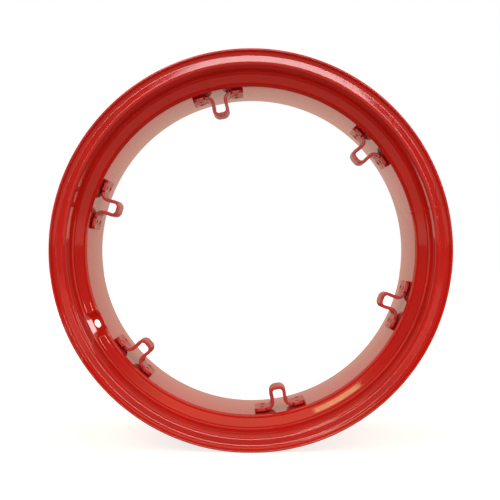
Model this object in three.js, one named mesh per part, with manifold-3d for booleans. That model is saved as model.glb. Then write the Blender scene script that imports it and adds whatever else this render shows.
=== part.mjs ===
// A drop-centre wheel rim of 28 inch bead seat and 12 inch width, for a tractor's driven axle.
// One rolled steel hoop is closed by a butt weld, and six bent loops are projection welded inside its well.
// Millimetres, +Z up. The wheel turns about +Y, with its outboard side to -Y and its centre at the origin.
import * as THREE from "three";
import { mergeGeometries, mergeVertices } from "three/addons/utils/BufferGeometryUtils.js";
import Module from "manifold-3d";

// Rim section. Radii are from the wheel's axis, and axial places are from the middle plane.
const OUTER_RADIUS = 381;
const HALF_WIDTH = 165.1;
const SHEET = 4.5;
const SEAT_RADIUS = 355.6; // tyre side of the bead seat, where it meets the flange
const SEAT_TAPER = 5;
const CURL_RADIUS = 13.5; // tyre side of the flange's curl
const HEEL_RADIUS = 3.5; // tyre side of the corner between flange and bead seat
const WELL_RADIUS = 324.2; // axis side of the well's floor
const WELL_HALF_FLOOR = 81;
const SLOPE_ANGLE = 55; // the well's side against the axis
const SLOPE_BEND = 18; // middle of the sheet

// The pressing that holds the valve hole square to the valve, in the outboard side of the well.
const VALVE_ANGLE = 205.5; // angles run from +X towards +Z
const VALVE_HOLE_RADIUS = 8.6;
const VALVE_HOLE_RISE = 1.5; // from the facet's middle towards its top
const POCKET_FLOOR_EDGE = 71.3;
const POCKET_FACET_ANGLE = 41;
const POCKET_SHELF_ANGLE = 17.5;
const POCKET_SHELF_EDGE = 111;
const POCKET_BENDS = [7, 6, 20];
const POCKET_FLAT_DEGREES = 1.6; // half of the fully pressed arc
const POCKET_HALF_DEGREES = 4.8; // where the pressing has run out
const DRILL_LENGTH = 36;
const HOLE_SIDES = 16;

// The hoop's facets. Those around the valve are finer, and one facet is centred at the bottom.
const FACET_DEGREES = 6;
const FINE_START = 195;
const FINE_DEGREES = 18;
const FINE_FACETS = 12;

// Straight pieces that stand for each bend of the section, from the well's floor out to the flange.
const WELL_BEND_PIECES = [2, 3];
const POCKET_BEND_PIECES = [2, 1, 1];
const HEEL_PIECES = 2;
const CURL_PIECES = 3;

// The butt weld that closes the hoop.
const SEAM_ANGLE = 13.3;
const SEAM_WIDTH = 5;
const SEAM_PROUD = 0.4;
const GAP = 0.3;

// Loops: bent strip with two wider feet. Heights are from the wheel's axis, along the loop's own radius.
const LOOP_ANGLES = [40.9, 102, 163, 222.2, 280.6, 339.8]; // up to 1.6 degrees off an even sixth of a turn
const LOOP_AXIAL = -37;
const STRIP = 6.35;
const STRIP_WIDTH = 50.8;
const TIP_HEIGHT = 279.8; // middle of the strip
const LEG_HALF_SPACING = 12.9; // middle of the strip, at the neck
const LEG_LEAN = 3;
const NECK_HEIGHT = 300;
const TIP_BEND = 9.7;
const TIP_BEND_PIECES = 3;
const FOOT_BEND = 12.5;
const FOOT_BEND_PIECES = 4;
const FOOT_TILT = 5;
const FOOT_HEIGHT = 316.3; // middle of the strip, above the welds
const FOOT_END = 50.8;
const PAD_WIDTH = 66;
const PAD_START = 26.5;
const PAD_CORNER = 8;

// Projection welds, two under each foot.
const WELD_OFFSET = 36;
const WELD_AXIAL = 16.5;
const WELD_RADIUS = 5;
const WELD_SINK = 1.7; // into the foot
const WELD_RISE = 1.7; // out of the foot, to the well
const DIMPLE_RADIUS = 4.8;
const DIMPLE_DEPTH = 1.8;
const WELD_SIDES = 8;
const PAD_CORNER_PIECES = 2;

const RED = 0xa82318;

const wasm = await Module();
wasm.setup();

const rad = THREE.MathUtils.degToRad;

function solid(geometry) {
  const bare = geometry.clone();
  bare.deleteAttribute("normal");
  bare.deleteAttribute("uv");
  const merged = mergeVertices(bare, 1e-4);
  return new wasm.Manifold(
    new wasm.Mesh({
      numProp: 3,
      vertProperties: merged.attributes.position.array,
      triVerts: new Uint32Array(merged.index.array),
    }),
  );
}

function geometryOf(body) {
  const { numProp, vertProperties, triVerts } = body.getMesh();
  const position = new THREE.BufferAttribute(vertProperties, numProp);
  const geometry = new THREE.BufferGeometry().setAttribute("position", position);
  geometry.setIndex(new THREE.BufferAttribute(triVerts, 1));
  geometry.computeVertexNormals();
  return geometry;
}

function paintedMesh(name, geometry) {
  const finish = { color: RED, roughness: 0.3, metalness: 0.1, flatShading: true };
  const mesh = new THREE.Mesh(geometry, new THREE.MeshStandardMaterial(finish));
  mesh.name = name;
  return mesh;
}

// Where the line through a at aDegrees meets the line through b at bDegrees.
function lineCross(a, aDegrees, b, bDegrees) {
  const [ca, sa] = [Math.cos(rad(aDegrees)), Math.sin(rad(aDegrees))];
  const [cb, sb] = [Math.cos(rad(bDegrees)), Math.sin(rad(bDegrees))];
  const along = ((b[0] - a[0]) * sb - (b[1] - a[1]) * cb) / (ca * sb - sa * cb);
  return [a[0] + along * ca, a[1] + along * sa];
}

// Follows straight lines with rounded corners, and gives points with the heading at each.
// A corner is [x, y, bend radius, pieces of the bend]; the first and last points are [x, y].
function bentLine(points) {
  const headings = points.slice(1).map((p, i) => Math.atan2(p[1] - points[i][1], p[0] - points[i][0]));
  const stations = [{ x: points[0][0], y: points[0][1], heading: headings[0] }];
  points.slice(1, -1).forEach(([x, y, radius, pieces], i) => {
    const turn = headings[i + 1] - headings[i];
    const bend = Math.sign(turn) * radius;
    const tangent = Math.abs(radius * Math.tan(turn / 2));
    const startX = x - tangent * Math.cos(headings[i]);
    const startY = y - tangent * Math.sin(headings[i]);
    const centreX = startX - bend * Math.sin(headings[i]);
    const centreY = startY + bend * Math.cos(headings[i]);
    for (let piece = 0; piece <= pieces; piece++) {
      const heading = headings[i] + (turn * piece) / pieces;
      const stationX = centreX + bend * Math.sin(heading);
      const stationY = centreY - bend * Math.cos(heading);
      stations.push({ x: stationX, y: stationY, heading });
    }
  });
  const [endX, endY] = points.at(-1);
  if (Math.hypot(endX - stations.at(-1).x, endY - stations.at(-1).y) > 0.01) {
    stations.push({ x: endX, y: endY, heading: headings.at(-1) });
  }
  return stations;
}

// The mirror image of a half line that starts at x = 0, followed by the line itself.
function bothHalves(half) {
  const mirrored = half.slice(1).reverse().map(({ x, y, heading }) => ({ x: -x, y, heading: -heading }));
  return [...mirrored, ...half];
}

// The closed outline of a sheet of the given thickness around its middle line.
function sheetOutline(stations, thickness) {
  const side = (offset) =>
    stations.map(({ x, y, heading }) => [x - offset * Math.sin(heading), y + offset * Math.cos(heading)]);
  return [...side(thickness / 2), ...side(-thickness / 2).reverse()];
}

// ---- Rim hoop ----

const WELL_MIDDLE = WELL_RADIUS + SHEET / 2;
const WALL_MIDDLE = HALF_WIDTH - (CURL_RADIUS - SHEET / 2);
const LIP_MIDDLE = OUTER_RADIUS - SHEET / 2;
const SEAT_CORNER = [WALL_MIDDLE, SEAT_RADIUS - SHEET / 2];

// Half of the rim's section as a middle line of (axial, radius), from the middle plane to the lip.
function halfSection(wellSide) {
  return bentLine([
    [0, WELL_MIDDLE],
    ...wellSide,
    [...SEAT_CORNER, HEEL_RADIUS + SHEET / 2, HEEL_PIECES],
    [WALL_MIDDLE, LIP_MIDDLE, CURL_RADIUS - SHEET / 2, CURL_PIECES],
    [HALF_WIDTH, LIP_MIDDLE],
  ]);
}

function plainHalf() {
  const floorCorner = [WELL_HALF_FLOOR + SLOPE_BEND * Math.tan(rad(SLOPE_ANGLE / 2)), WELL_MIDDLE];
  const shoulder = lineCross(floorCorner, SLOPE_ANGLE, SEAT_CORNER, SEAT_TAPER);
  return halfSection([
    [...floorCorner, SLOPE_BEND, WELL_BEND_PIECES[0]],
    [...shoulder, SLOPE_BEND, WELL_BEND_PIECES[1]],
  ]);
}

const POCKET_FLOOR_CORNER = [POCKET_FLOOR_EDGE, WELL_MIDDLE];
const POCKET_SHELF_CORNER = lineCross([POCKET_SHELF_EDGE, 0], 90, SEAT_CORNER, SEAT_TAPER);
const POCKET_TOP_CORNER = lineCross(
  POCKET_FLOOR_CORNER, POCKET_FACET_ANGLE, POCKET_SHELF_CORNER, POCKET_SHELF_ANGLE);

function pressedHalf() {
  const corners = [POCKET_FLOOR_CORNER, POCKET_TOP_CORNER, POCKET_SHELF_CORNER];
  return halfSection(corners.map((corner, i) => [...corner, POCKET_BENDS[i], POCKET_BEND_PIECES[i]]));
}

// The outboard half comes first in the outline's middle line, so only that half takes the pressing.
function pressedSection() {
  const plain = plainHalf();
  const outboard = bothHalves(pressedHalf()).slice(0, plain.length - 1);
  return [...outboard, ...plain];
}

const PLAIN_OUTLINE = sheetOutline(bothHalves(plainHalf()), SHEET);
const PRESSED_OUTLINE = sheetOutline(pressedSection(), SHEET);

// One where the valve's pressing is at full depth, falling smoothly to zero.
function pressing(degrees) {
  const away = Math.abs(degrees - VALVE_ANGLE);
  return 1 - THREE.MathUtils.smoothstep(away, POCKET_FLAT_DEGREES, POCKET_HALF_DEGREES);
}

// An open sector of the hoop, from startDegrees onwards.
function hoopSector(startDegrees, sweepDegrees, facets) {
  const plain = PLAIN_OUTLINE.map(([axial, radius]) => new THREE.Vector2(radius, axial));
  const profile = [...plain, plain[0]];
  const firstPhi = 90 - startDegrees - sweepDegrees;
  const sector = new THREE.LatheGeometry(profile, facets, rad(firstPhi), rad(sweepDegrees));
  const position = sector.attributes.position;
  for (let ring = 0; ring <= facets; ring++) {
    const degrees = startDegrees + sweepDegrees * (1 - ring / facets);
    const share = pressing(degrees);
    profile.forEach((point, j) => {
      const [axial, radius] = PRESSED_OUTLINE[j % PLAIN_OUTLINE.length];
      const moved = point.clone().lerp(new THREE.Vector2(radius, axial), share);
      const [x, z] = [moved.x * Math.cos(rad(degrees)), moved.x * Math.sin(rad(degrees))];
      position.setXYZ(ring * profile.length + j, x, moved.y, z);
    });
  }
  return sector;
}

// A frame with x along the radius at the given angle, y along the axle and z along the rim.
function radialFrame(degrees) {
  const radial = new THREE.Vector3(Math.cos(rad(degrees)), 0, Math.sin(rad(degrees)));
  const axial = new THREE.Vector3(0, 1, 0);
  return new THREE.Matrix4().makeBasis(radial, axial, radial.clone().cross(axial));
}

function valveDrill() {
  const middleRadius = (POCKET_FLOOR_CORNER[1] + POCKET_TOP_CORNER[1]) / 2;
  const middleAxial = (POCKET_FLOOR_CORNER[0] + POCKET_TOP_CORNER[0]) / 2;
  const holeRadius = middleRadius + VALVE_HOLE_RISE * Math.sin(rad(POCKET_FACET_ANGLE));
  const holeAxial = middleAxial + VALVE_HOLE_RISE * Math.cos(rad(POCKET_FACET_ANGLE));
  return new THREE.CylinderGeometry(VALVE_HOLE_RADIUS, VALVE_HOLE_RADIUS, DRILL_LENGTH, HOLE_SIDES)
    .rotateZ(rad(POCKET_FACET_ANGLE))
    .translate(holeRadius, -holeAxial, 0)
    .applyMatrix4(radialFrame(VALVE_ANGLE));
}

function seamSlot() {
  const low = WELL_RADIUS - SHEET;
  const high = OUTER_RADIUS + SHEET;
  return new THREE.BoxGeometry(high - low, 2 * HALF_WIDTH + 2 * SHEET, SEAM_WIDTH + 2 * GAP)
    .translate((low + high) / 2, 0, 0)
    .applyMatrix4(radialFrame(SEAM_ANGLE));
}

function rimHoop() {
  const coarseDegrees = 360 - FINE_DEGREES;
  const ring = mergeGeometries([
    hoopSector(FINE_START, FINE_DEGREES, FINE_FACETS),
    hoopSector(FINE_START + FINE_DEGREES, coarseDegrees, coarseDegrees / FACET_DEGREES),
  ]);
  const body = solid(ring).subtract(solid(valveDrill())).subtract(solid(seamSlot()));
  return paintedMesh("rim_hoop", geometryOf(body));
}

function buttWeld() {
  const outline = sheetOutline(bothHalves(plainHalf()), SHEET + 2 * SEAM_PROUD);
  const shape = new THREE.Shape(outline.map(([axial, radius]) => new THREE.Vector2(radius, axial)));
  const bead = new THREE.ExtrudeGeometry(shape, { depth: SEAM_WIDTH, bevelEnabled: false });
  bead.translate(0, 0, -SEAM_WIDTH / 2).applyMatrix4(radialFrame(SEAM_ANGLE));
  return paintedMesh("rim_butt_weld", bead);
}

// ---- Loops, in a frame with x along the rim, y along the axle and z outwards along the loop's radius ----

const LEG_LINE = 90 + LEG_LEAN;
const NECK = [LEG_HALF_SPACING, NECK_HEIGHT];
const FOOT_MIDDLE = [WELD_OFFSET, FOOT_HEIGHT];

function bentStrip() {
  const tipCorner = lineCross([0, TIP_HEIGHT], 0, NECK, LEG_LINE);
  const footCorner = lineCross(NECK, LEG_LINE, FOOT_MIDDLE, -FOOT_TILT);
  const footEnd = lineCross([FOOT_END, 0], 90, FOOT_MIDDLE, -FOOT_TILT);
  const half = bentLine([
    [0, TIP_HEIGHT],
    [...tipCorner, TIP_BEND, TIP_BEND_PIECES],
    [...footCorner, FOOT_BEND, FOOT_BEND_PIECES],
    footEnd,
  ]);
  const outline = sheetOutline(bothHalves(half), STRIP);
  const shape = new THREE.Shape(outline.map(([x, z]) => new THREE.Vector2(x, z)));
  return new THREE.ExtrudeGeometry(shape, { depth: STRIP_WIDTH, bevelEnabled: false })
    .rotateX(Math.PI / 2)
    .translate(0, STRIP_WIDTH / 2, 0);
}

// Puts a shape on a foot: x along the foot, y along the axle and z towards the well, from the foot's middle.
function onFoot(geometry, side) {
  return geometry
    .rotateY(rad(FOOT_TILT))
    .translate(FOOT_MIDDLE[0], 0, FOOT_MIDDLE[1])
    .rotateZ(side > 0 ? 0 : Math.PI);
}

function footPad(side) {
  const slant = Math.cos(rad(FOOT_TILT));
  const start = (PAD_START - WELD_OFFSET) / slant;
  const end = (FOOT_END - WELD_OFFSET) / slant;
  const half = PAD_WIDTH / 2;
  const shape = new THREE.Shape();
  shape.moveTo(start, -half);
  shape.lineTo(end - PAD_CORNER, -half);
  shape.absarc(end - PAD_CORNER, -half + PAD_CORNER, PAD_CORNER, -Math.PI / 2, 0);
  shape.absarc(end - PAD_CORNER, half - PAD_CORNER, PAD_CORNER, 0, Math.PI / 2);
  shape.lineTo(start, half);
  const plate = new THREE.ExtrudeGeometry(shape, {
    depth: STRIP,
    bevelEnabled: false,
    curveSegments: PAD_CORNER_PIECES,
  });
  return onFoot(plate.translate(0, 0, -STRIP / 2), side);
}

// A round block on a foot's weld place, from low to high above the foot's middle.
function roundOnFoot(radius, low, high, side, row) {
  const round = new THREE.CylinderGeometry(radius, radius, high - low, WELD_SIDES)
    .rotateX(Math.PI / 2)
    .translate(0, side * row * WELD_AXIAL, (low + high) / 2);
  return onFoot(round, side);
}

const SIDES = [["left", -1], ["right", 1]];
const ROWS = [["outboard", -1], ["inboard", 1]];
const WELD_PLACES = SIDES.flatMap((side) => ROWS.map((row) => [...side, ...row]));

function loopBody() {
  const bare = SIDES.reduce((body, [, side]) => body.add(solid(footPad(side))), solid(bentStrip()));
  return WELD_PLACES.reduce((body, [, side, , row]) => {
    const socket = roundOnFoot(WELD_RADIUS + GAP, STRIP / 2 - WELD_SINK - GAP, STRIP, side, row);
    const dimple = roundOnFoot(DIMPLE_RADIUS, -STRIP, DIMPLE_DEPTH - STRIP / 2, side, row);
    return body.subtract(solid(socket)).subtract(solid(dimple));
  }, bare);
}

function loopGroup(number, degrees, geometry) {
  const group = new THREE.Group();
  group.add(paintedMesh(`loop_${number}`, geometry));
  for (const [sideName, side, rowName, row] of WELD_PLACES) {
    const nugget = roundOnFoot(WELD_RADIUS, STRIP / 2 - WELD_SINK, STRIP / 2 + WELD_RISE, side, row);
    group.add(paintedMesh(`loop_${number}_weld_${sideName}_${rowName}`, nugget));
  }
  group.position.y = LOOP_AXIAL;
  group.rotation.y = rad(90 - degrees);
  return group;
}

const rim = new THREE.Group();
rim.add(rimHoop(), buttWeld());
const loopGeometry = geometryOf(loopBody());
LOOP_ANGLES.forEach((degrees, i) => rim.add(loopGroup(i + 1, degrees, loopGeometry)));

export default rim;
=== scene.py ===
"""A drop-centre wheel rim of a tractor, with six loops welded inside it, on a pale studio floor."""

import math

import bpy
from mathutils import Matrix, Vector


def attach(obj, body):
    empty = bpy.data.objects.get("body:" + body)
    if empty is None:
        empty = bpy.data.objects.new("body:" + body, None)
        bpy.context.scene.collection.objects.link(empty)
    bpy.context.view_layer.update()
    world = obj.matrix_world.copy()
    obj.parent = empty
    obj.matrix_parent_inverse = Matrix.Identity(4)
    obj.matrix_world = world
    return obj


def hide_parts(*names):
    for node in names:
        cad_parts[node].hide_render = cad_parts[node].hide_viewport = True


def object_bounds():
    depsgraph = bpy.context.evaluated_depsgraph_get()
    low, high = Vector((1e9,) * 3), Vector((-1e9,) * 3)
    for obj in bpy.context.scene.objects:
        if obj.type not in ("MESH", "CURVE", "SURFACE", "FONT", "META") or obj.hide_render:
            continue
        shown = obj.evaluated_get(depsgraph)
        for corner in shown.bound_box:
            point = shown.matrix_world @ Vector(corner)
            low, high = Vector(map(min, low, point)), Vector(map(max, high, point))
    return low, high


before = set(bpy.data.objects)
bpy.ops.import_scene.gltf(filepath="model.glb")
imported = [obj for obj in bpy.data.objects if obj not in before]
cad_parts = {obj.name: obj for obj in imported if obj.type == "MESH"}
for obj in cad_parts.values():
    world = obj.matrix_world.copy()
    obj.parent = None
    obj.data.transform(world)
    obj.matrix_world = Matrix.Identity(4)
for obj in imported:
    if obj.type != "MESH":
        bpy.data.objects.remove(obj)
cad_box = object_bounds()

# ---- Camera, floor and studio light ----
# The rim stands on its flanges on a pale floor, face on to a camera a little right of its axle. A round
# softbox hangs above the camera, and a few lamps show as lines in the enamel. A pale sheet hangs far behind
# the rim.

MM = 0.001  # lengths are in metres
CAMERA_FROM_LIPS = 1606 * MM
CAMERA_RIGHT_OF_AXLE = 16.6 * MM
CAMERA_AIM = (-0.55 * MM, 1 * MM)
CAMERA_LENS = 61.5
FLOOR_HALF_SIZE = 12
FLOOR_NEAR = (0.48, 0.43, 0.36, 1)
FLOOR_FAR = (0.87, 0.66, 0.57, 1)
FLOOR_CHANGE = (2.2, 3)  # from the rim's centre, where the near colour turns into the far one
FLOOR_MIRRORED = (0.09, 0.07, 0.06, 1)
FLOOR_MIRRORED_BEHIND = (0, 0.6)  # along Y, where reflections turn to the mirrored colour
FLOOR_GLOW = 0.74
WHITE = (1, 1, 1, 1)
ROOM_BRIGHTNESS = 3.2
ROOM_DIM = (0.06, 0.045, 0.04)
ROOM_WALL = (0.3, 0.2, 0.15)
ROOM_DARK = (0.03, 0.025, 0.02)
ROOM_SHEET = (0.26, 0.2, 0.16)
ROOM_FRONT_TO_BACK = [
    (0, ROOM_DIM),
    (0.6, ROOM_DIM),
    (0.65, ROOM_WALL),
    (0.9, ROOM_WALL),
    (0.92, ROOM_DARK),
    (0.963, ROOM_DARK),
    (0.975, ROOM_SHEET),
]
CEILING = (0.6, 0.34, 0.21, 1)
CEILING_HEIGHT = (0.55, 0.85)
CEILING_BACK_EDGE = (-0.02, 0.06)
SOFT_COLOUR = (1, 0.95, 0.9, 1)
SOFT_BRIGHTNESS = 0.76
SOFT_MORE_ABOVE = 0.36
SOFT_LESS_BEHIND = 0.1
LAMP_DISTANCE = 20

front_lips = cad_box[0].y
floor_height = cad_box[0].z


def added(name, data):
    """A new object in the scene."""
    item = bpy.data.objects.new(name, data)
    bpy.context.scene.collection.objects.link(item)
    return item


camera = added("camera", bpy.data.cameras.new("camera"))
bpy.context.scene.camera = camera
camera.data.lens = CAMERA_LENS
camera.location = (CAMERA_RIGHT_OF_AXLE, front_lips - CAMERA_FROM_LIPS, 0)
camera_aim = Vector((CAMERA_AIM[0], front_lips, CAMERA_AIM[1]))
camera.rotation_euler = (camera_aim - camera.location).to_track_quat("-Z", "Y").to_euler()
bpy.context.scene.view_settings.view_transform = "Standard"


class Socket:
    """One output of a node. Arithmetic on it adds Math nodes to its tree."""

    def __init__(self, maker, socket):
        self.maker = maker
        self.socket = socket

    def out(self, name):
        return Socket(self.maker, self.socket.node.outputs[name])

    def math(self, operation, first, second=0.0):
        return self.maker.node("ShaderNodeMath", {"operation": operation}, {0: first, 1: second})

    def absolute(self):
        return self.math("ABSOLUTE", self)

    def __add__(self, other):
        return self.math("ADD", self, other)

    def __sub__(self, other):
        return self.math("SUBTRACT", self, other)

    def __rsub__(self, other):
        return self.math("SUBTRACT", other, self)

    def __mul__(self, other):
        return self.math("MULTIPLY", self, other)

    def __truediv__(self, other):
        return self.math("DIVIDE", self, other)

    def __rtruediv__(self, other):
        return self.math("DIVIDE", other, self)

    __radd__ = __add__
    __rmul__ = __mul__


class Maker:
    """Adds nodes to one tree."""

    def __init__(self, tree):
        self.tree = tree

    def node(self, kind, settings=None, sockets=None):
        """Adds a node, sets what it is, then fills its sockets, and gives its first live output."""
        node = self.tree.nodes.new(kind)
        for name, value in (settings or {}).items():
            if name == "stops":
                self.set_stops(node.color_ramp.elements, value)
            else:
                setattr(node, name, value)
        for name, value in (sockets or {}).items():
            if isinstance(name, int):
                target = node.inputs[name]
            else:
                target = next(s for s in node.inputs if s.name == name and s.enabled)
            if isinstance(value, Socket):
                self.tree.links.new(value.socket, target)
            else:
                target.default_value = value
        live = [s for s in node.outputs if s.enabled]
        return Socket(self, live[0]) if live else None

    def set_stops(self, elements, stops):
        while len(elements) < len(stops):
            elements.new(1)
        for element, (position, colour) in zip(elements, stops):
            element.position = position
            element.color = (*colour, 1)


def empty_tree(owner):
    owner.use_nodes = True
    owner.node_tree.nodes.clear()
    return Maker(owner.node_tree)


def ramped(maker, value, low, high, at_low, at_high, way="LINEAR"):
    """at_low up to low, at_high from high on, and a ramp between."""
    return maker.node(
        "ShaderNodeMapRange",
        {"interpolation_type": way},
        {"Value": value, "From Min": low, "From Max": high, "To Min": at_low, "To Max": at_high},
    )


def eased(maker, value, low, high, at_low, at_high):
    return ramped(maker, value, low, high, at_low, at_high, "SMOOTHSTEP")


def mixed(maker, factor, first, second):
    return maker.node("ShaderNodeMix", {"data_type": "RGBA"}, {"Factor": factor, "A": first, "B": second})


def studio_world():
    """White to the camera, soft light from above and before on paint, and in reflections a room.

    The room's stops run from before the rim (-Y) to behind it (+Y). Its ceiling ends right above the rim.
    """
    world = bpy.data.worlds.new("studio")
    bpy.context.scene.world = world
    maker = empty_tree(world)
    rays = maker.node("ShaderNodeLightPath")
    direction = maker.node("ShaderNodeTexCoord").out("Generated")
    parts = maker.node("ShaderNodeSeparateXYZ", {}, {"Vector": direction})
    back = parts.out("Y")
    up = parts.out("Z")
    walls = maker.node("ShaderNodeValToRGB", {"stops": ROOM_FRONT_TO_BACK}, {"Fac": back * 0.5 + 0.5})
    overhead = eased(maker, up, *CEILING_HEIGHT, 0, 1) * eased(maker, back, *CEILING_BACK_EDGE, 1, 0)
    room = mixed(maker, overhead, walls, CEILING)
    reflected = maker.node("ShaderNodeBackground", {}, {"Color": room, "Strength": ROOM_BRIGHTNESS})
    soft = up * SOFT_MORE_ABOVE - back * SOFT_LESS_BEHIND + SOFT_BRIGHTNESS
    even = maker.node("ShaderNodeBackground", {}, {"Color": SOFT_COLOUR, "Strength": soft})
    lit = maker.node("ShaderNodeMixShader", {}, {0: rays.out("Is Glossy Ray"), 1: even, 2: reflected})
    seen = maker.node("ShaderNodeBackground", {}, {"Color": WHITE, "Strength": 1})
    surface = maker.node("ShaderNodeMixShader", {}, {0: rays.out("Is Camera Ray"), 1: lit, 2: seen})
    maker.node("ShaderNodeOutputWorld", {}, {"Surface": surface})


def studio_floor():
    """A pale floor, greyer round the rim than far from it, dark in reflections from behind the rim.

    To the camera it glows enough to be near white.
    """
    corners = [(-1, -1), (1, -1), (1, 1), (-1, 1)]
    mesh = bpy.data.meshes.new("floor")
    places = [(x * FLOOR_HALF_SIZE, y * FLOOR_HALF_SIZE, floor_height) for x, y in corners]
    mesh.from_pydata(places, [], [(0, 1, 2, 3)])
    floor = added("floor", mesh)
    material = bpy.data.materials.new("floor")
    maker = empty_tree(material)
    rays = maker.node("ShaderNodeLightPath")
    place = maker.node("ShaderNodeTexCoord").out("Object")
    away = maker.node("ShaderNodeVectorMath", {"operation": "LENGTH"}, {0: place})
    back = maker.node("ShaderNodeSeparateXYZ", {}, {"Vector": place}).out("Y")
    mirrored_behind = rays.out("Is Glossy Ray") * eased(maker, back, *FLOOR_MIRRORED_BEHIND, 0, 1)
    near = mixed(maker, mirrored_behind, FLOOR_NEAR, FLOOR_MIRRORED)
    pale = mixed(maker, eased(maker, away, *FLOOR_CHANGE, 0, 1), near, FLOOR_FAR)
    matt = maker.node("ShaderNodeBsdfDiffuse", {}, {"Color": pale})
    strength = rays.out("Is Camera Ray") * FLOOR_GLOW
    glow = maker.node("ShaderNodeEmission", {}, {"Color": WHITE, "Strength": strength})
    surface = maker.node("ShaderNodeAddShader", {}, {0: matt, 1: glow})
    maker.node("ShaderNodeOutputMaterial", {}, {"Surface": surface})
    mesh.materials.append(material)


def lamp(name, off_axle, around, size, radiance, colour, shape="RECTANGLE"):
    """A far lamp, placed and sized by angles in degrees, with the brightness of its face.

    off_axle is its angle from the axle's line on the camera's side, and around runs from +X towards +Z.
    """
    lean, turn = math.radians(off_axle), math.radians(around)
    out = Vector((math.sin(lean) * math.cos(turn), -math.cos(lean), math.sin(lean) * math.sin(turn)))
    sideways = Vector((-math.sin(turn), 0, math.cos(turn)))
    light = bpy.data.lights.new(name, "AREA")
    light.shape = shape
    light.size, light.size_y = [2 * LAMP_DISTANCE * math.tan(math.radians(angle) / 2) for angle in size]
    light.energy = radiance * math.pi * light.size * light.size_y
    light.color = colour
    fitting = added(name, light)
    fitting.location = out * LAMP_DISTANCE
    fitting.rotation_euler = Matrix((sideways, out.cross(sideways), out)).transposed().to_euler()
    fitting.visible_camera = False


studio_world()
studio_floor()
lamp(
    "softbox",
    off_axle=6.2,
    around=87,
    size=(10, 11.4),
    radiance=8,
    colour=(1, 0.97, 0.96),
    shape="ELLIPSE",
)
lamp("ceiling_strip", off_axle=36, around=112, size=(7, 28), radiance=4.5, colour=(1, 0.95, 0.9))
lamp("warm_lamp_left", off_axle=58.7, around=121, size=(15, 7), radiance=6.5, colour=(1, 0.95, 0.45))
lamp("warm_lamp_right", off_axle=69, around=26, size=(15, 3), radiance=24, colour=(1, 0.85, 0.65))
lamp("back_lamp_right", off_axle=133, around=26, size=(8, 8), radiance=7, colour=(1, 0.85, 0.8))

# ---- Rim hoop ----
# One steel strip, rolled to a section with two curled flanges, two tapered bead seats and a deep well.
# The outboard side of the well has a pressed pocket, whose facet holds the valve hole square to the valve.

OUTER_RADIUS = 381 * MM
HALF_WIDTH = cad_box[1].y
SHEET = 4.5 * MM
SEAT_RADIUS = 355.6 * MM
SEAT_TAPER = math.radians(5)
CURL_RADIUS = 13.5 * MM
HEEL_RADIUS = 3.5 * MM
WELL_RADIUS = 324.2 * MM
WELL_HALF_FLOOR = 81 * MM
SLOPE_ANGLE = math.radians(55)
SLOPE_BEND = 18 * MM
WELL_BENDS = [(SLOPE_BEND, 8), (SLOPE_BEND, 9)]  # each a radius and its number of pieces
HEEL_PIECES = 10
CURL_PIECES = 12
LIP_EDGE = 2 * MM
EDGE_PIECES = 4
VALVE_ANGLE = math.radians(205.5)
VALVE_HOLE_RADIUS = 8.6 * MM
VALVE_HOLE_RISE = 1.5 * MM
POCKET_FLOOR_EDGE = 71.3 * MM
POCKET_FACET_ANGLE = math.radians(41)
POCKET_SHELF_ANGLE = math.radians(17.5)
POCKET_SHELF_EDGE = 111 * MM
POCKET_BENDS = [(7 * MM, 8), (6 * MM, 4), (20 * MM, 4)]
POCKET_FLAT = math.radians(1.9)
POCKET_HALF = math.radians(4.8)
HOOP_STATIONS = 360
FINE_STATIONS = 72
FINE_ARC = math.radians(13)
DRILL_SIDES = 64
DRILL_LENGTH = 8 * SHEET
HOOP_CREASE = math.radians(32)
FILM_NOISE = (11, 3)  # a noise's scale and detail, and for the skin its roughness too
SKIN_NOISE = (210, 1.5, 0.45)
WAVE_NOISE = (34, 1)
DUST_NOISE = (900, 1)
GLOSS_NOISE = (60, 2)
NOISE_MIDDLE = (0.3, 0.7)  # where nearly all of a noise's values lie
DUST_PEAKS = (0.74, 0.8)
SKIN_DEPTH = 0.05 * MM
WAVE_HEIGHT = 0.6
DUST_HEIGHT = 0.5
ENAMEL_IOR = 1.5
RIM_RED_THIN = (0.48, 0.011, 0.007)
RIM_RED_FULL = (0.54, 0.01, 0.006)
RIM_PEEL = 0.14
RIM_ROUGHNESS = (0.05, 0.09)
SAME_PLACE = 0.01 * MM

WALL_MIDDLE = HALF_WIDTH - (CURL_RADIUS - SHEET / 2)
LIP_MIDDLE = OUTER_RADIUS - SHEET / 2
WELL_MIDDLE = WELL_RADIUS + SHEET / 2
SEAT_CORNER = (WALL_MIDDLE, SEAT_RADIUS - SHEET / 2)


def line_cross(a, a_angle, b, b_angle):
    """Where the line through a at a_angle meets the line through b at b_angle."""
    across = math.cos(a_angle) * math.sin(b_angle) - math.sin(a_angle) * math.cos(b_angle)
    along = ((b[0] - a[0]) * math.sin(b_angle) - (b[1] - a[1]) * math.cos(b_angle)) / across
    return a[0] + along * math.cos(a_angle), a[1] + along * math.sin(a_angle)


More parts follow.
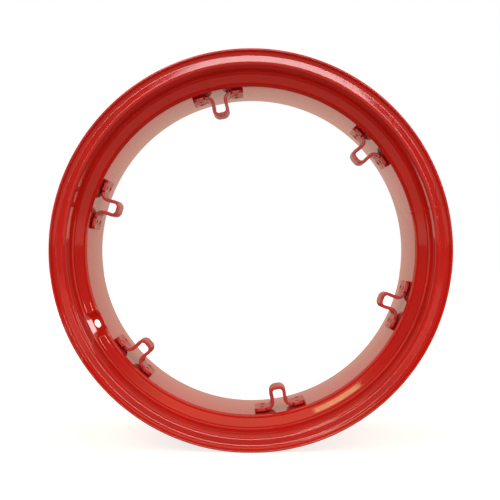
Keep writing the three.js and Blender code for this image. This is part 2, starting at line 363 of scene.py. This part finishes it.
def bent_line(points):
    """Straight lines with rounded corners, as stations of (x, y, heading).

    A corner is (x, y, bend radius, pieces), and the two ends are (x, y).
    """
    pairs = list(zip(points, points[1:]))
    headings = [math.atan2(b[1] - a[1], b[0] - a[0]) for a, b in pairs]
    stations = [(points[0][0], points[0][1], headings[0])]
    for (x, y, radius, pieces), before, after in zip(points[1:-1], headings, headings[1:]):
        turn = after - before
        bend = math.copysign(radius, turn)
        tangent = abs(radius * math.tan(turn / 2))
        centre_x = x - tangent * math.cos(before) - bend * math.sin(before)
        centre_y = y - tangent * math.sin(before) + bend * math.cos(before)
        for piece in range(pieces + 1):
            heading = before + turn * piece / pieces
            station_x = centre_x + bend * math.sin(heading)
            station_y = centre_y - bend * math.cos(heading)
            stations.append((station_x, station_y, heading))
    end_x, end_y = points[-1]
    if math.hypot(end_x - stations[-1][0], end_y - stations[-1][1]) > SAME_PLACE:
        stations.append((end_x, end_y, headings[-1]))
    return stations


def both_halves(half):
    """The mirror image of a half line that starts at x = 0, followed by the line itself."""
    mirrored = [(-x, y, -heading) for x, y, heading in reversed(half[1:])]
    return mirrored + half


def sheet_outline(stations, thickness, edge):
    """The closed outline of a sheet around its middle line, with its four end corners rounded."""
    half = thickness / 2
    arc = [math.radians(90 * (1 - piece / EDGE_PIECES)) for piece in range(EDGE_PIECES + 1)]

    def beside(station, along, across):
        x, y, heading = station
        return (
            x + along * math.cos(heading) - across * math.sin(heading),
            y + along * math.sin(heading) + across * math.cos(heading),
        )

    def end(station, way, side):
        return [
            beside(station, way * edge * (math.cos(turn) - 1), side * (half - edge + edge * math.sin(turn)))
            for turn in arc
        ]

    middle = stations[1:-1]
    left = [beside(station, 0, half) for station in middle]
    right = [beside(station, 0, -half) for station in reversed(middle)]
    far = end(stations[-1], 1, 1) + end(stations[-1], 1, -1)[::-1]
    near = end(stations[0], -1, -1) + end(stations[0], -1, 1)[::-1]
    return left + far + right + near


def half_section(well_side):
    """Half of the rim's middle line as (axial, radius), from the middle plane to the lip."""
    return bent_line([
        (0, WELL_MIDDLE),
        *well_side,
        (*SEAT_CORNER, HEEL_RADIUS + SHEET / 2, HEEL_PIECES),
        (WALL_MIDDLE, LIP_MIDDLE, CURL_RADIUS - SHEET / 2, CURL_PIECES),
        (HALF_WIDTH, LIP_MIDDLE),
    ])


floor_corner = (WELL_HALF_FLOOR + SLOPE_BEND * math.tan(SLOPE_ANGLE / 2), WELL_MIDDLE)
shoulder = line_cross(floor_corner, SLOPE_ANGLE, SEAT_CORNER, SEAT_TAPER)
plain_half = half_section([(*floor_corner, *WELL_BENDS[0]), (*shoulder, *WELL_BENDS[1])])

pocket_floor = (POCKET_FLOOR_EDGE, WELL_MIDDLE)
pocket_shelf = line_cross((POCKET_SHELF_EDGE, 0), math.pi / 2, SEAT_CORNER, SEAT_TAPER)
pocket_top = line_cross(pocket_floor, POCKET_FACET_ANGLE, pocket_shelf, POCKET_SHELF_ANGLE)
pressed_half = half_section([
    (*pocket_floor, *POCKET_BENDS[0]),
    (*pocket_top, *POCKET_BENDS[1]),
    (*pocket_shelf, *POCKET_BENDS[2]),
])

plain_section = both_halves(plain_half)
pressed_section = both_halves(pressed_half)[: len(plain_half) - 1] + plain_half
plain_outline = sheet_outline(plain_section, SHEET, LIP_EDGE)
pressed_outline = sheet_outline(pressed_section, SHEET, LIP_EDGE)


def line_mesh(name, points, closed, columns):
    """A mesh of edges through the points, with one attribute on the points for each column of numbers."""
    count = len(points)
    edges = [(i, (i + 1) % count) for i in range(count if closed else count - 1)]
    mesh = bpy.data.meshes.new(name)
    mesh.from_pydata(points, edges, [])
    for column, values in columns.items():
        mesh.attributes.new(column, "FLOAT", "POINT").data.foreach_set("value", values)
    return mesh


def geometry_maker(name, inputs):
    """A new Geometry Nodes tree with named inputs, and its input sockets by name."""
    tree = bpy.data.node_groups.new(name, "GeometryNodeTree")
    tree.interface.new_socket("Geometry", in_out="INPUT", socket_type="NodeSocketGeometry")
    for label, kind in inputs.items():
        tree.interface.new_socket(label, in_out="INPUT", socket_type="NodeSocket" + kind)
    tree.interface.new_socket("Geometry", in_out="OUTPUT", socket_type="NodeSocketGeometry")
    maker = Maker(tree)
    return maker, maker.node("NodeGroupInput")


def attribute(maker, name):
    return maker.node("GeometryNodeInputNamedAttribute", {"data_type": "FLOAT"}, {"Name": name})


def stored(maker, geometry, name, value):
    return maker.node(
        "GeometryNodeStoreNamedAttribute",
        {"data_type": "FLOAT", "domain": "POINT"},
        {"Geometry": geometry, "Name": name, "Value": value},
    )


def vector(maker, x, y, z):
    return maker.node("ShaderNodeCombineXYZ", {}, {"X": x, "Y": y, "Z": z})


def around_axle(maker, radius, axial, turn):
    """The point at a radius from the axle, at an angle from +X towards +Z."""
    return vector(maker, radius * turn.math("COSINE", turn), axial, radius * turn.math("SINE", turn))


def ends_here(maker, geometry, paint, crease):
    """Smooth shading with sharp edges past the crease's angle, then the closing nodes of a tree."""
    smooth = maker.node("GeometryNodeSetShadeSmooth", {}, {"Geometry": geometry})
    angle = maker.node("GeometryNodeInputMeshEdgeAngle")
    flat_enough = maker.node(
        "FunctionNodeCompare",
        {"data_type": "FLOAT", "operation": "LESS_THAN"},
        {"A": angle, "B": crease},
    )
    edged = maker.node(
        "GeometryNodeSetShadeSmooth", {"domain": "EDGE"}, {"Geometry": smooth, "Shade Smooth": flat_enough})
    real = maker.node("GeometryNodeRealizeInstances", {}, {"Geometry": edged})
    painted = maker.node("GeometryNodeSetMaterial", {}, {"Geometry": real, "Material": paint})
    maker.node("NodeGroupOutput", {}, {"Geometry": painted})


def made_by(maker, name, start, values):
    """The plain mesh that a tree makes of a starting mesh, as an object."""
    piece = added(name, start)
    modifier = piece.modifiers.new("maker", "NODES")
    modifier.node_group = maker.tree
    for socket in maker.tree.interface.items_tree:
        if socket.in_out == "INPUT" and socket.name in values:
            modifier[socket.identifier] = values[socket.name]
    depsgraph = bpy.context.evaluated_depsgraph_get()
    plain = bpy.data.meshes.new_from_object(piece.evaluated_get(depsgraph))
    piece.modifiers.clear()
    piece.data = plain
    return piece


def hoop_maker():
    """Turns the section round the axle, presses the valve's pocket and drills its hole."""
    maker, given = geometry_maker("hoop", {
        "Stations": "Int",
        "Fine stations": "Int",
        "Fine arc": "Float",
        "Valve angle": "Float",
        "Flat half angle": "Float",
        "Pocket half angle": "Float",
        "Hole radius": "Float",
        "Hole place": "Vector",
        "Hole axis": "Vector",
        "Paint": "Material",
    })
    section = maker.node("GeometryNodeMeshToCurve", {}, {"Mesh": given.out("Geometry")})
    ring = maker.node("GeometryNodeCurvePrimitiveCircle", {}, {"Resolution": given.out("Stations")})
    ring = stored(maker, ring, "station", maker.node("GeometryNodeInputIndex"))
    rolled = maker.node("GeometryNodeCurveToMesh", {}, {"Curve": ring, "Profile Curve": section})
    station = attribute(maker, "station")
    fine = given.out("Fine stations")
    arc = given.out("Fine arc")
    past = ramped(maker, station, 0, fine, 0, arc)
    rest = ramped(maker, station, fine, given.out("Stations"), 0, math.tau - arc)
    from_valve = past + rest - arc / 2
    flat_end = given.out("Flat half angle")
    share = eased(maker, from_valve.absolute(), flat_end, given.out("Pocket half angle"), 1, 0)
    radius = attribute(maker, "plain_radius") + share * attribute(maker, "press_radius")
    axial = attribute(maker, "plain_axial") + share * attribute(maker, "press_axial")
    place = around_axle(maker, radius, axial, from_valve + given.out("Valve angle"))
    turned = maker.node("GeometryNodeSetPosition", {}, {"Geometry": rolled, "Position": place})
    drill = maker.node(
        "GeometryNodeMeshCylinder",
        {},
        {"Vertices": DRILL_SIDES, "Radius": given.out("Hole radius"), "Depth": DRILL_LENGTH},
    )
    upright = maker.node(
        "FunctionNodeAlignRotationToVector", {"axis": "Z"}, {"Vector": given.out("Hole axis")})
    drill = maker.node(
        "GeometryNodeTransform",
        {},
        {"Geometry": drill, "Translation": given.out("Hole place"), "Rotation": upright},
    )
    drilled = maker.node(
        "GeometryNodeMeshBoolean",
        {"operation": "DIFFERENCE", "solver": "EXACT"},
        {"Mesh 1": turned, "Mesh 2": drill},
    )
    ends_here(maker, drilled, given.out("Paint"), HOOP_CREASE)
    return maker


def noise(maker, place, scale, detail, roughness=0.5):
    return maker.node(
        "ShaderNodeTexNoise",
        {},
        {"Vector": place, "Scale": scale, "Detail": detail, "Roughness": roughness},
    )


def enamel(name, thin_colour, full_colour, peel=RIM_PEEL, roughness=RIM_ROUGHNESS):
    """Gloss enamel sprayed on steel: slow changes in film, an orange-peel skin and a little dust in it."""
    material = bpy.data.materials.new(name)
    maker = empty_tree(material)
    place = maker.node("ShaderNodeTexCoord").out("Object")
    film = eased(maker, noise(maker, place, *FILM_NOISE), *NOISE_MIDDLE, 0, 1)
    colour = mixed(maker, film, (*thin_colour, 1), (*full_colour, 1))
    skin = noise(maker, place, *SKIN_NOISE)
    waves = noise(maker, place, *WAVE_NOISE)
    dust = eased(maker, noise(maker, place, *DUST_NOISE), *DUST_PEAKS, 0, 1)
    height = skin + waves * WAVE_HEIGHT + dust * DUST_HEIGHT
    bump = maker.node("ShaderNodeBump", {}, {"Strength": peel, "Distance": SKIN_DEPTH, "Height": height})
    rough = eased(maker, noise(maker, place, *GLOSS_NOISE), *NOISE_MIDDLE, *roughness)
    surface = maker.node(
        "ShaderNodeBsdfPrincipled",
        {},
        {"Base Color": colour, "Roughness": rough, "IOR": ENAMEL_IOR, "Normal": bump},
    )
    maker.node("ShaderNodeOutputMaterial", {}, {"Surface": surface})
    return material


rim_enamel = enamel("rim_enamel", RIM_RED_THIN, RIM_RED_FULL)
section_mesh = line_mesh(
    "section",
    [(radius, axial, 0) for axial, radius in plain_outline],
    True,
    {
        "plain_radius": [radius for _, radius in plain_outline],
        "plain_axial": [axial for axial, _ in plain_outline],
        "press_radius": [b[1] - a[1] for a, b in zip(plain_outline, pressed_outline)],
        "press_axial": [b[0] - a[0] for a, b in zip(plain_outline, pressed_outline)],
    },
)
hole_axial = -(pocket_floor[0] + pocket_top[0]) / 2 - VALVE_HOLE_RISE * math.cos(POCKET_FACET_ANGLE)
hole_radius = (pocket_floor[1] + pocket_top[1]) / 2 + VALVE_HOLE_RISE * math.sin(POCKET_FACET_ANGLE)
valve_out = Vector((math.cos(VALVE_ANGLE), 0, math.sin(VALVE_ANGLE)))
rim_hoop = made_by(hoop_maker(), "rolled_hoop", section_mesh, {
    "Stations": HOOP_STATIONS,
    "Fine stations": FINE_STATIONS,
    "Fine arc": FINE_ARC,
    "Valve angle": VALVE_ANGLE,
    "Flat half angle": POCKET_FLAT,
    "Pocket half angle": POCKET_HALF,
    "Hole radius": VALVE_HOLE_RADIUS,
    "Hole place": valve_out * hole_radius + Vector((0, hole_axial, 0)),
    "Hole axis": valve_out * math.cos(POCKET_FACET_ANGLE) + Vector((0, math.sin(POCKET_FACET_ANGLE), 0)),
    "Paint": rim_enamel,
})
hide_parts("rim_hoop")
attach(rim_hoop, "root")

# ---- Butt weld ----
# The strip's two ends are flash welded together across the whole section, which closes the hoop.
# The flash is trimmed off, so that only a low, slightly uneven band is left under the paint.

SEAM_ANGLE = math.radians(13.3)
SEAM_HALF_WIDTH = 2.3 * MM
SEAM_PROUD = 0.3 * MM
SEAM_PIECES = 14
SEAM_CREASE = math.radians(50)
SEAM_LOWEST = 0.45
SEAM_NOISE = (160, 2)
SEAM_NOISE_ACROSS = 2 * MM


def outline_normals(outline):
    """The outward unit normal at each point of a closed outline that runs clockwise as (axial, radius)."""
    normals = []
    for i, _ in enumerate(outline):
        before, after = outline[i - 1], outline[(i + 1) % len(outline)]
        along = Vector((after[0] - before[0], after[1] - before[1])).normalized()
        normals.append((-along.y, along.x))
    return normals


def swept(maker, path, section):
    """A closed skin of the section object along the path. Its points keep both lines' attributes."""
    path_curve = maker.node("GeometryNodeMeshToCurve", {}, {"Mesh": path})
    section_lines = maker.node("GeometryNodeObjectInfo", {}, {"Object": section}).out("Geometry")
    section_curve = maker.node("GeometryNodeMeshToCurve", {}, {"Mesh": section_lines})
    return maker.node(
        "GeometryNodeCurveToMesh",
        {},
        {"Curve": path_curve, "Profile Curve": section_curve, "Fill Caps": True},
    )


def seam_maker():
    """Runs a low band round the rim's section at one angle."""
    maker, given = geometry_maker("seam", {
        "Band section": "Object",
        "Seam angle": "Float",
        "Half width": "Float",
        "Height": "Float",
        "Paint": "Material",
    })
    band = swept(maker, given.out("Geometry"), given.out("Band section"))
    across = attribute(maker, "section_across")
    skin_radius = attribute(maker, "skin_radius")
    skin_axial = attribute(maker, "skin_axial")
    spot = vector(maker, skin_radius, skin_axial, across * SEAM_NOISE_ACROSS)
    uneven = ramped(maker, noise(maker, spot, *SEAM_NOISE), *NOISE_MIDDLE, SEAM_LOWEST, 1)
    height = attribute(maker, "section_up") * given.out("Height") * uneven
    radius = skin_radius + attribute(maker, "normal_radius") * height
    axial = skin_axial + attribute(maker, "normal_axial") * height
    turn = given.out("Seam angle") + across * given.out("Half width") / radius
    place = around_axle(maker, radius, axial, turn)
    laid = maker.node("GeometryNodeSetPosition", {}, {"Geometry": band, "Position": place})
    ends_here(maker, laid, given.out("Paint"), SEAM_CREASE)
    return maker


skin_normals = outline_normals(plain_outline)
skin_mesh = line_mesh(
    "section_skin",
    [(radius, axial, 0) for axial, radius in plain_outline],
    True,
    {
        "skin_radius": [radius for _, radius in plain_outline],
        "skin_axial": [axial for axial, _ in plain_outline],
        "normal_radius": [out for _, out in skin_normals],
        "normal_axial": [out for out, _ in skin_normals],
    },
)
band_turns = [math.tau * piece / SEAM_PIECES for piece in range(SEAM_PIECES)]
band_section = added("band_section", line_mesh(
    "band_section",
    [(math.cos(turn), math.sin(turn), 0) for turn in band_turns],
    True,
    {
        "section_across": [math.cos(turn) for turn in band_turns],
        "section_up": [math.sin(turn) for turn in band_turns],
    },
))
rim_butt_weld = made_by(seam_maker(), "trimmed_butt_weld", skin_mesh, {
    "Band section": band_section,
    "Seam angle": SEAM_ANGLE,
    "Half width": SEAM_HALF_WIDTH,
    "Height": SEAM_PROUD,
    "Paint": enamel("weld_enamel", RIM_RED_THIN, RIM_RED_FULL),
})
bpy.data.objects.remove(band_section)
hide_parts("rim_butt_weld")
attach(rim_butt_weld, "root")

# ---- Loops ----
# Six loops take the bolts that hold the wheel's centre. Each is bent from 2 by 1/4 inch strip, with its
# ends flattened wider into feet. Two dimples are pressed through each foot for the projection welds.

LOOP_ANGLES = [math.radians(degrees) for degrees in (40.9, 102.0, 163.0, 222.2, 280.6, 339.8)]
LOOP_AXIAL = -37 * MM
STRIP = 6.35 * MM
STRIP_WIDTH = 50.8 * MM
STRIP_EDGE = 0.9 * MM
TIP_HEIGHT = 279.8 * MM
LEG_HALF_SPACING = 12.9 * MM
LEG_LINE = math.radians(93)
NECK_HEIGHT = 300 * MM
TIP_BEND = 9.7 * MM
TIP_BEND_PIECES = 14
FOOT_BEND = 12.5 * MM
FOOT_BEND_PIECES = 22
FOOT_TILT = math.radians(5)
FOOT_HEIGHT = 316.3 * MM
FOOT_END = 50.8 * MM
FOOT_STEP = 0.6 * MM
PAD_WIDTH = 66 * MM
PAD_START = 26.5 * MM
PAD_SHOULDER = 3 * MM
PAD_CORNER = 8 * MM
PAD_CORNER_PIECES = 12
WELD_OFFSET = 36 * MM
WELD_AXIAL = 16.5 * MM
DIMPLE_DEPTH = 1.8 * MM
DIMPLE_REACH = 4.9 * MM
DIMPLE_FLOOR = 3.4 * MM
DIMPLE_PIECES = 9
LOOP_CREASE = math.radians(60)
LOOP_RED_THIN = (0.48, 0.012, 0.011)
LOOP_RED_FULL = (0.54, 0.011, 0.01)
LOOP_PEEL = 0.5
LOOP_ROUGHNESS = (0.24, 0.36)


def rounded_off(distance, radius):
    """How far a rounded edge or corner falls back at a distance from its end."""
    if distance >= radius:
        return 0
    return radius - math.sqrt(radius**2 - (radius - distance) ** 2)


def loop_path():
    """The loop's middle line with its width and thickness, in x along the rim and z along the radius."""
    neck = (LEG_HALF_SPACING, NECK_HEIGHT)
    foot_middle = (WELD_OFFSET, FOOT_HEIGHT)
    tip_corner = line_cross((0, TIP_HEIGHT), 0, neck, LEG_LINE)
    foot_corner = line_cross(neck, LEG_LINE, foot_middle, -FOOT_TILT)
    foot_end = line_cross((FOOT_END, 0), math.pi / 2, foot_middle, -FOOT_TILT)
    half = bent_line([
        (0, TIP_HEIGHT),
        (*tip_corner, TIP_BEND, TIP_BEND_PIECES),
        (*foot_corner, FOOT_BEND, FOOT_BEND_PIECES),
        foot_end,
    ])
    start, end = half[-2], half[-1]
    length = math.dist(start[:2], end[:2])
    corner = [PAD_CORNER * (piece / PAD_CORNER_PIECES) ** 2 for piece in range(PAD_CORNER_PIECES)]
    steps = math.ceil((length - PAD_CORNER) / FOOT_STEP)
    from_end = corner + [PAD_CORNER + (length - PAD_CORNER) * step / steps for step in range(steps)]
    from_end.reverse()
    foot = [
        (
            end[0] + (start[0] - end[0]) * distance / length,
            end[1] + (start[1] - end[1]) * distance / length,
            end[2],
        )
        for distance in from_end
    ]
    line = both_halves(half[:-1] + foot)
    past_foot = [length] * (len(half) - 1)
    distances = from_end[::-1] + past_foot[1:] + past_foot + from_end
    names = ("path_x", "path_z", "normal_x", "normal_z", "half_width", "half_strip")
    columns = {name: [] for name in names}
    for (x, z, heading), distance in zip(line, distances):
        share = min(1, max(0, (abs(x) - PAD_START) / PAD_SHOULDER))
        pad_share = share * share * (3 - 2 * share)
        width = STRIP_WIDTH + (PAD_WIDTH - STRIP_WIDTH) * pad_share
        columns["path_x"].append(x)
        columns["path_z"].append(z)
        columns["normal_x"].append(-math.sin(heading))
        columns["normal_z"].append(math.cos(heading))
        columns["half_width"].append(width / 2 - rounded_off(distance, PAD_CORNER))
        columns["half_strip"].append(STRIP / 2 - rounded_off(distance, STRIP_EDGE))
    return line_mesh("loop_path", [(x, 0, z) for x, z, _ in line], False, columns)


def strip_section():
    """The strip's section with rounded edges, closest stitched where the dimples are pressed."""
    corner = [math.radians(90 * piece / EDGE_PIECES) for piece in range(EDGE_PIECES + 1)]
    reach = [DIMPLE_REACH * (piece / DIMPLE_PIECES - 1) for piece in range(2 * DIMPLE_PIECES + 1)]
    right = [WELD_AXIAL + step for step in reach]
    stops = [-stop for stop in reversed(right)] + [-WELD_AXIAL / 3, WELD_AXIAL / 3] + right

    def edge(along_side, across_side, turn):
        return (
            along_side,
            along_side * STRIP_EDGE * (math.cos(turn) - 1),
            across_side,
            across_side * STRIP_EDGE * (math.sin(turn) - 1),
        )

    points = [(0, stop, 1, 0) for stop in stops]
    points += [edge(1, 1, turn) for turn in reversed(corner)]
    points += [edge(1, -1, turn) for turn in corner]
    points += [(0, stop, -1, 0) for stop in reversed(stops)]
    points += [edge(-1, -1, turn) for turn in reversed(corner)]
    points += [edge(-1, 1, turn) for turn in corner]
    places = [
        (along + along_side * STRIP_WIDTH / 2, across + across_side * STRIP / 2, 0)
        for along_side, along, across_side, across in points
    ]
    names = ("along_side", "along_own", "across_side", "across_own")
    return line_mesh("strip_section", places, True, dict(zip(names, zip(*points))))


def loop_maker():
    """Sweeps the strip along the loop, presses its dimples and stands it at its place on the rim."""
    maker, given = geometry_maker("loop", {
        "Strip section": "Object",
        "Weld offset": "Float",
        "Weld axial": "Float",
        "Dimple depth": "Float",
        "Dimple floor": "Float",
        "Dimple reach": "Float",
        "Turn": "Vector",
        "Place": "Vector",
        "Paint": "Material",
    })
    strip = swept(maker, given.out("Geometry"), given.out("Strip section"))
    along = attribute(maker, "along_side") * attribute(maker, "half_width") + attribute(maker, "along_own")
    path_x = attribute(maker, "path_x")
    path_z = attribute(maker, "path_z")
    apart_x = path_x.absolute() - given.out("Weld offset")
    apart_y = along.absolute() - given.out("Weld axial")
    from_dimple = maker.node(
        "ShaderNodeVectorMath", {"operation": "LENGTH"}, {0: vector(maker, apart_x, apart_y, 0)})
    floor_end = given.out("Dimple floor")
    pressed = eased(maker, from_dimple, floor_end, given.out("Dimple reach"), given.out("Dimple depth"), 0)
    across = attribute(maker, "across_side") * attribute(maker, "half_strip")
    across = across + attribute(maker, "across_own") + pressed
    place = vector(
        maker,
        path_x + attribute(maker, "normal_x") * across,
        along,
        path_z + attribute(maker, "normal_z") * across,
    )
    bent = maker.node("GeometryNodeSetPosition", {}, {"Geometry": strip, "Position": place})
    stood = maker.node(
        "GeometryNodeTransform",
        {},
        {"Geometry": bent, "Translation": given.out("Place"), "Rotation": given.out("Turn")},
    )
    ends_here(maker, stood, given.out("Paint"), LOOP_CREASE)
    return maker


loop_enamel = enamel("loop_enamel", LOOP_RED_THIN, LOOP_RED_FULL, LOOP_PEEL, LOOP_ROUGHNESS)
strip_lines = added("strip_section", strip_section())
loop_tree = loop_maker()
for number, loop_angle in enumerate(LOOP_ANGLES, 1):
    loop = made_by(loop_tree, f"bent_loop_{number}", loop_path(), {
        "Strip section": strip_lines,
        "Weld offset": WELD_OFFSET,
        "Weld axial": WELD_AXIAL,
        "Dimple depth": DIMPLE_DEPTH,
        "Dimple floor": DIMPLE_FLOOR,
        "Dimple reach": DIMPLE_REACH,
        "Turn": (0, math.pi / 2 - loop_angle, 0),
        "Place": (0, LOOP_AXIAL, 0),
        "Paint": loop_enamel,
    })
    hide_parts(f"loop_{number}")
    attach(loop, "root")
bpy.data.objects.remove(strip_lines)

# ---- Projection welds ----
# Under each foot two pressed projections were squeezed against the well and melted flat by the welding
# current, which left a thin round button of steel between foot and well.

BUTTON_RADIUS = 4.6 * MM
BUTTON_HALF_HEIGHT = 1.35 * MM
BUTTON_MIDDLE = 1.6 * MM
BUTTON_SEGMENTS = 32
BUTTON_RINGS = 12
BUTTON_SPREAD = (0.94, 1.06)
BUTTON_SEED = 4
BUTTON_CREASE = math.radians(60)
BUTTON_RED_THIN = (0.5, 0.02, 0.012)
BUTTON_RED_FULL = (0.56, 0.02, 0.011)


def weld_points():
    """One point for each weld, with the turn that lays a button flat on its foot."""
    points = []
    turns = []
    up = STRIP / 2 + BUTTON_MIDDLE
    for angle in LOOP_ANGLES:
        turn = math.pi / 2 - angle
        for side in (-1, 1):
            lean = side * FOOT_TILT
            x = side * WELD_OFFSET + up * math.sin(lean)
            z = FOOT_HEIGHT + up * math.cos(lean)
            for row in (-1, 1):
                points.append((
                    x * math.cos(turn) + z * math.sin(turn),
                    LOOP_AXIAL + row * WELD_AXIAL,
                    z * math.cos(turn) - x * math.sin(turn),
                ))
                turns.append(turn + lean)
    mesh = bpy.data.meshes.new("weld_points")
    mesh.from_pydata(points, [], [])
    mesh.attributes.new("turn", "FLOAT", "POINT").data.foreach_set("value", turns)
    return mesh


def button_maker():
    """Puts a flattened button of slightly random size on each weld point."""
    maker, given = geometry_maker("weld buttons", {
        "Radius": "Float",
        "Half height": "Float",
        "Seed": "Int",
        "Paint": "Material",
    })
    ball = maker.node(
        "GeometryNodeMeshUVSphere", {}, {"Segments": BUTTON_SEGMENTS, "Rings": BUTTON_RINGS, "Radius": 1.0})
    radius = given.out("Radius")
    size = vector(maker, radius, radius, given.out("Half height"))
    button = maker.node("GeometryNodeTransform", {}, {"Geometry": ball, "Scale": size})
    turn = vector(maker, 0, attribute(maker, "turn"), 0)
    smallest, largest = BUTTON_SPREAD
    spread = maker.node(
        "FunctionNodeRandomValue",
        {"data_type": "FLOAT"},
        {"Min": smallest, "Max": largest, "Seed": given.out("Seed")},
    )
    buttons = maker.node(
        "GeometryNodeInstanceOnPoints",
        {},
        {
            "Points": given.out("Geometry"),
            "Instance": button,
            "Rotation": turn,
            "Scale": vector(maker, spread, spread, 1),
        },
    )
    ends_here(maker, buttons, given.out("Paint"), BUTTON_CREASE)
    return maker


welds = made_by(button_maker(), "projection_welds", weld_points(), {
    "Radius": BUTTON_RADIUS,
    "Half height": BUTTON_HALF_HEIGHT,
    "Seed": BUTTON_SEED,
    "Paint": enamel("button_enamel", BUTTON_RED_THIN, BUTTON_RED_FULL),
})
weld_nodes = [
    f"loop_{number}_weld_{side}_{row}"
    for number in range(1, len(LOOP_ANGLES) + 1)
    for side in ("left", "right")
    for row in ("outboard", "inboard")
]
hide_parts(*weld_nodes)
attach(welds, "root")
